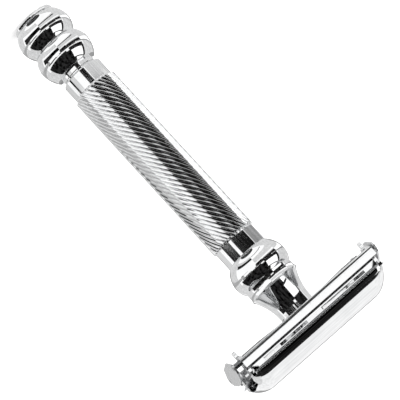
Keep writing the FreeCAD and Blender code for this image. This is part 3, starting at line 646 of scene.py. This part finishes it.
def make_door(name, body, node, side):
    """One door: a thin polished dome with an arched opening at each end and hinge ears."""
    wall = 0.75
    outer = door_surface(0.0, side)
    inner = door_surface(wall, side)
    across = len(outer[0])
    along = len(outer)
    points = [spot for column in outer for spot in column]
    points += [spot for column in inner for spot in column]
    half = along * across
    faces = []
    for i in range(along - 1):
        for j in range(across - 1):
            a = i * across + j
            face = [a, a + 1, a + across + 1, a + across]
            faces.append(face)
            faces.append([half + index for index in face])
    border = [i * across for i in range(along)]
    border += [(along - 1) * across + j for j in range(1, across)]
    border += [i * across + across - 1 for i in range(along - 2, -1, -1)]
    border += [j for j in range(across - 2, 0, -1)]
    for number, a in enumerate(border):
        b = border[(number + 1) % len(border)]
        faces.append([a, b, half + b, half + a])
    door = new_mesh_object(name, points, faces)

    ear_in, ear_out = 19.2, 20.1
    for end in (-1, 1):
        near, far = sorted((ear_in * end, ear_out * end))
        ear_name = body + ("_ear_left" if end < 0 else "_ear_right")
        ear = prism(ear_name, ear_outline(side), near, far, edge=0.12)
        place(ear, body, "chrome_plate", chrome)
    arch_y, arch_low, arch_z, curve, past, reach_x = 6.8, 99.0, 102.7, 1.8, 1.0, 21.0
    spots = outline([
        (-past, arch_low),
        (arch_y, arch_low),
        (arch_y, arch_z - curve),
        (arch_y - curve, arch_z, curve, "left"),
        (-past, arch_z),
    ], steps=10)
    spots = spots if side > 0 else mirrored(spots)
    combine(door, prism("arch", spots, -reach_x, reach_x), "DIFFERENCE")
    shade(door.data, math.radians(28))
    place(door, body, "chrome_plate", chrome, node)


def make_lift_bar():
    """The bar that carries the hinges: narrow between the prongs, with a wing at each end."""
    low, high = node_box("lift_bar")
    end_x = node_box("end_cap_right")[0].x + 0.1
    waist_x, waist_y, wing_x, wing_y, wing_end, tongue_y = 5.4, 1.5, 13.2, 5.0, 18.2, 2.6
    quarter = [(waist_x, waist_y), (wing_x, wing_y), (wing_end, wing_y), (wing_end, tongue_y),
               (end_x, tongue_y)]
    right = quarter + [(x, -y) for x, y in reversed(quarter)]
    spots = soften(right + [(-x, y) for x, y in reversed(right)], radius=0.6)
    bar = prism("lift_bar_detail", spots, low.z, high.z, axis="Z")
    tenon_r, past = 1.2, 2.0
    start, end = low.z - past, high.z + past
    spots = [(0, start), (tenon_r, start), (tenon_r, end), (0, end)]
    combine(bar, lathe("hole", spots, segments=48), "DIFFERENCE")
    finish_edges(bar, width=0.08)
    place(bar, "lift_carriage", "chrome_plate", satin_and_shade_chrome, "lift_bar")


def make_end_cap(name, node, end):
    """The D-shaped plate at one end of the head, with lobes round the hinge pins."""
    low, high = node_box(node)
    crown_y, crown_z, crown_curve = 6.6, 98.2, 17.2
    lobe_y, lobe_high, lobe_low, lobe_curve = 8.15, 97.55, 95.45, 1.15
    foot_y, pin_r, hole_reach = 3.6, 0.6, (20.0, 24.0)
    half = outline([
        (0, high.z),
        (crown_y, crown_z, crown_curve, "right"),
        (lobe_y, lobe_high, 1.6, "right"),
        (lobe_y, lobe_low, lobe_curve, "right"),
        (foot_y, low.z),
    ], steps=12)
    spots = soften(half + mirrored(half[1:]), radius=1.2)
    cap = prism(name, spots, low.x, high.x)
    for side in (-1, 1):
        near, far = hole_reach
        hole = lathe("hole", [(0, near), (pin_r, near), (pin_r, far), (0, far)], segments=32)
        hole.data.transform(Matrix.Rotation(math.pi / 2 * end, 4, "Y"))
        hole.data.transform(Matrix.Translation(Vector((0, HINGE_Y * side, HINGE_Z)) * MM))
        combine(cap, hole, "DIFFERENCE")
    finish_edges(cap, width=0.1)
    place(cap, "lift_carriage", "chrome_plate", satin_and_shade_chrome, node)


def make_rail():
    """The locating rail that the blade's slot drops over."""
    high = node_box("blade_rail")[1]
    seat_z = node_box("guard_plate")[1].z
    half_x, half_y = high.x, high.y
    straight = half_x - half_y
    spots = outline([
        (straight, -half_y),
        (half_x, 0, half_y, "left"),
        (straight, half_y, half_y, "left"),
        (-straight, half_y),
        (-half_x, 0, half_y, "left"),
        (-straight, -half_y, half_y, "left"),
    ], steps=10)
    rail = prism("rail_detail", spots, seat_z, high.z, axis="Z", edge=0.2)
    place(rail, "handle", "chrome_plate", chrome, "blade_rail")


def dress_nodes():
    """Better materials on the CAD nodes that stay in view or inside."""
    finishes = {
        "bare_brass": brass,
        "spring_steel": spring_steel,
        "blade_steel": blade_steel,
        "chrome_plate": chrome,
        "grip_chrome": grip_chrome,
    }
    for part in frame["record"]["subparts"]:
        thing = frame["nodes"][part["node"]]
        if not thing.hide_render:
            paint(thing, finishes[part["material_slot"]])


# ---------------------------------------------------------------- studio

VIEW_AZIMUTH = math.radians(11.3)
VIEW_ELEVATION = math.radians(10.71)
VIEW_LEAN = math.radians(47.5)
VIEW_DISTANCE = 550
VIEW_LENS = 208


def glow_material(name, dark, light):
    """An even glow that drifts a little between two brightnesses, as a real card does."""
    material = bpy.data.materials.new(name)
    material.use_nodes = True
    tree = material.node_tree
    tree.nodes.clear()
    glow = add(tree, "ShaderNodeEmission")
    cloud = add(tree, "ShaderNodeTexNoise", Scale=0.012, Detail=2.0)
    tree.links.new(stretched(tree, (1, 1, 1)), cloud.inputs["Vector"])
    drift = ramp(tree, cloud.outputs["Fac"], dark, light, 0.38, 0.62)
    tree.links.new(drift, glow.inputs["Strength"])
    output = add(tree, "ShaderNodeOutputMaterial")
    tree.links.new(glow.outputs[0], output.inputs["Surface"])
    return material


def show_only_in_reflections(thing, glow):
    paint(thing, glow)
    thing.visible_camera = False
    thing.visible_diffuse = False
    thing.visible_shadow = False


def grid_faces(rows, row_length):
    faces = []
    for i in range(rows):
        for j in range(row_length - 1):
            a = i * row_length + j
            faces.append([a, a + 1, a + row_length + 1, a + row_length])
    return faces


def card(name, turn, radius, heights, glow):
    """A curved studio card round the handle. Turn 0 faces the camera, and more goes to its left."""
    steps = 24
    points = []
    for height in heights:
        for step in range(steps + 1):
            angle = VIEW_AZIMUTH - math.radians(turn[0] + (turn[1] - turn[0]) * step / steps)
            points.append((radius * math.sin(angle), -radius * math.cos(angle), height))
    show_only_in_reflections(new_mesh_object(name, points, grid_faces(1, steps + 1)), glow)


def canopy(name, turn, rise, radius, glow):
    """A card on a sphere round the razor, between two elevations."""
    steps, middle_z = 24, 50
    points = []
    for i in range(steps + 1):
        up = math.radians(rise[0] + (rise[1] - rise[0]) * i / steps)
        level = radius * math.cos(up)
        for j in range(steps + 1):
            angle = VIEW_AZIMUTH - math.radians(turn[0] + (turn[1] - turn[0]) * j / steps)
            points.append((level * math.sin(angle), -level * math.cos(angle),
                           middle_z + radius * math.sin(up)))
    show_only_in_reflections(new_mesh_object(name, points, grid_faces(steps, steps + 1)), glow)


def make_floor():
    half = 3.0
    floor = bpy.data.objects.new("floor", bpy.data.meshes.new("floor"))
    floor.data.from_pydata([(-half, -half, 0), (half, -half, 0), (half, half, 0), (-half, half, 0)],
                           [], [[0, 1, 2, 3]])
    scene.collection.objects.link(floor)
    material, tree, shader = new_material("pale_floor")
    cloud = add(tree, "ShaderNodeTexNoise", Scale=0.02, Detail=3.0)
    tree.links.new(stretched(tree, (1, 1, 1)), cloud.inputs["Vector"])
    mix = add(tree, "ShaderNodeMix", data_type="RGBA")
    mix.inputs["A"].default_value = (0.955, 0.955, 0.955, 1)
    mix.inputs["B"].default_value = (0.975, 0.975, 0.975, 1)
    tree.links.new(cloud.outputs["Fac"], mix.inputs["Factor"])
    tree.links.new(mix.outputs["Result"], shader.inputs["Base Color"])
    shader.inputs["Roughness"].default_value = 0.9
    shader.inputs["Specular IOR Level"].default_value = 0.1
    shader.inputs["Emission Color"].default_value = (1, 1, 1, 1)
    shader.inputs["Emission Strength"].default_value = 0.2
    floor.data.materials.append(material)
    floor.visible_glossy = False


def make_studio():
    """A pale floor in a white tent, with dark and light cards that only the chrome sees."""
    world = bpy.data.worlds.new("tent")
    scene.world = world
    world.use_nodes = True
    backdrop = world.node_tree.nodes["Background"]
    backdrop.inputs["Color"].default_value = (1, 1, 1, 1)
    backdrop.inputs["Strength"].default_value = 1.2
    make_floor()

    black = glow_material("black_card", 0.0, 0.03)
    dark = glow_material("dark_card", 0.01, 0.12)
    middle = glow_material("grey_card", 0.28, 0.4)
    soft = glow_material("soft_grey_card", 0.42, 0.52)
    pale = glow_material("pale_card", 0.68, 0.88)
    sky = glow_material("sky_card", 0.95, 1.1)
    bright = glow_material("window_pane", 1.3, 1.5)

    near, crest, window, room = 100, 400, 490, 520
    under, far, low_room, tent = 640, 1000, 1050, 1100

    # Low cards: the throat, the plain rings and the grip each meet their own height of them.
    throat, neck_ring, grip, knob_ring = (-24, -6.5), (-79, -26), (-216, -80), (-262, -217)
    card("throat_left", (4, 62), far, throat, black)
    card("throat_right", (-64, -4), far, throat, black)
    card("neck_ring_front", (-12, 69), far, neck_ring, black)
    card("neck_ring_side", (-77, -28), far, neck_ring, black)
    card("neck_ring_grey", (72, 150), far, neck_ring, middle)
    card("grip_flag", (-4, 98), far, grip, black)
    card("grip_edge_glow", (98, 152), far, grip, bright)
    card("grip_side_grey", (-150, -64), far, grip, soft)
    card("knob_ring_flag", (0, 28), far, knob_ring, black)
    card("knob_ring_pale", (34, 100), far, knob_ring, pale)
    card("knob_ring_grey", (-67, -40), far, knob_ring, pale)
    card("knob_ring_side", (-78, -67), far, knob_ring, black)
    card("near_flag", (-88, 0), near, (-50, -14), black)
    card("near_frame", (2, 88), near, (-65, -54), black)
    canopy("low_glow_left", (0, 100), (-42, -22), low_room, pale)
    canopy("low_glow_right", (-100, 0), (-60, -42), low_room, pale)

    # High cards: a dark room all across the front, with a window of two panes in its left half.
    canopy("dark_room", (-88, 94), (5, 112), room, black)
    canopy("dark_wall_left", (29, 94), (-3, 5), room, black)
    canopy("dark_wall_right", (-88, 15), (-1, 5), room, black)
    canopy("pane_low", (33, 84), (9, 37), window, bright)
    canopy("pane_high", (43, 84), (41, 58), window, bright)

    # Behind and below.
    canopy("back", (100, 260), (-70, 6), tent, pale)
    canopy("back_sky_left", (94, 150), (6, 80), tent, pale)
    canopy("back_sky", (150, 210), (6, 80), tent, sky)
    canopy("back_sky_right", (210, 272), (6, 80), tent, pale)
    card("back_line", (152, 208), room, (-140, 30), middle)
    card("crest_line", (160, 200), crest, (60, 170), middle)
    canopy("nadir", (0, 360), (-90, -72), under, dark)

    lamp = bpy.data.lights.new("softbox", "AREA")
    lamp.shape = "RECTANGLE"
    lamp.size, lamp.size_y = 0.6, 0.4
    lamp.energy = 3.0
    softbox = bpy.data.objects.new("softbox", lamp)
    softbox.location = (-0.5, -0.35, 0.8)
    aim = Vector((0, 0, 0.06)) - softbox.location
    softbox.rotation_euler = aim.to_track_quat("-Z", "Y").to_euler()
    scene.collection.objects.link(softbox)
    scene.view_settings.view_transform = "Standard"


def make_camera():
    """The camera, a little above the head and to its right, leaned so that the handle slants."""
    a, e, lean = VIEW_AZIMUTH, VIEW_ELEVATION, VIEW_LEAN
    back = Vector((math.sin(a) * math.cos(e), -math.cos(a) * math.cos(e), math.sin(e)))
    right = Vector((math.cos(a), math.sin(a), 0))
    up = back.cross(right)
    seen_right = up * math.cos(lean) - right * math.sin(lean)
    data = bpy.data.cameras.new("camera")
    data.lens = VIEW_LENS
    data.sensor_width = 36
    camera = bpy.data.objects.new("camera", data)
    scene.collection.objects.link(camera)
    middle, aim = Vector((0, 0, 50)), Vector((-0.48, 0, 60.14))
    spot = middle + back * VIEW_DISTANCE
    axis_z = (spot - aim).normalized()
    axis_x = (seen_right - axis_z * seen_right.dot(axis_z)).normalized()
    axis_y = axis_z.cross(axis_x)
    pose = Matrix((axis_x, axis_y, axis_z)).transposed().to_4x4()
    pose.translation = spot * MM
    camera.matrix_world = pose
    data.clip_start = 0.01
    data.clip_end = 20
    scene.camera = camera


make_camera()
make_knob()
make_handle()
make_neck()
make_guard()
make_rail()
make_door("front_door_detail", "front_door", "door_front", -1)
make_door("rear_door_detail", "rear_door", "door_rear", 1)
make_lift_bar()
make_end_cap("left_cap_detail", "end_cap_left", -1)
make_end_cap("right_cap_detail", "end_cap_right", 1)
dress_nodes()
make_studio()
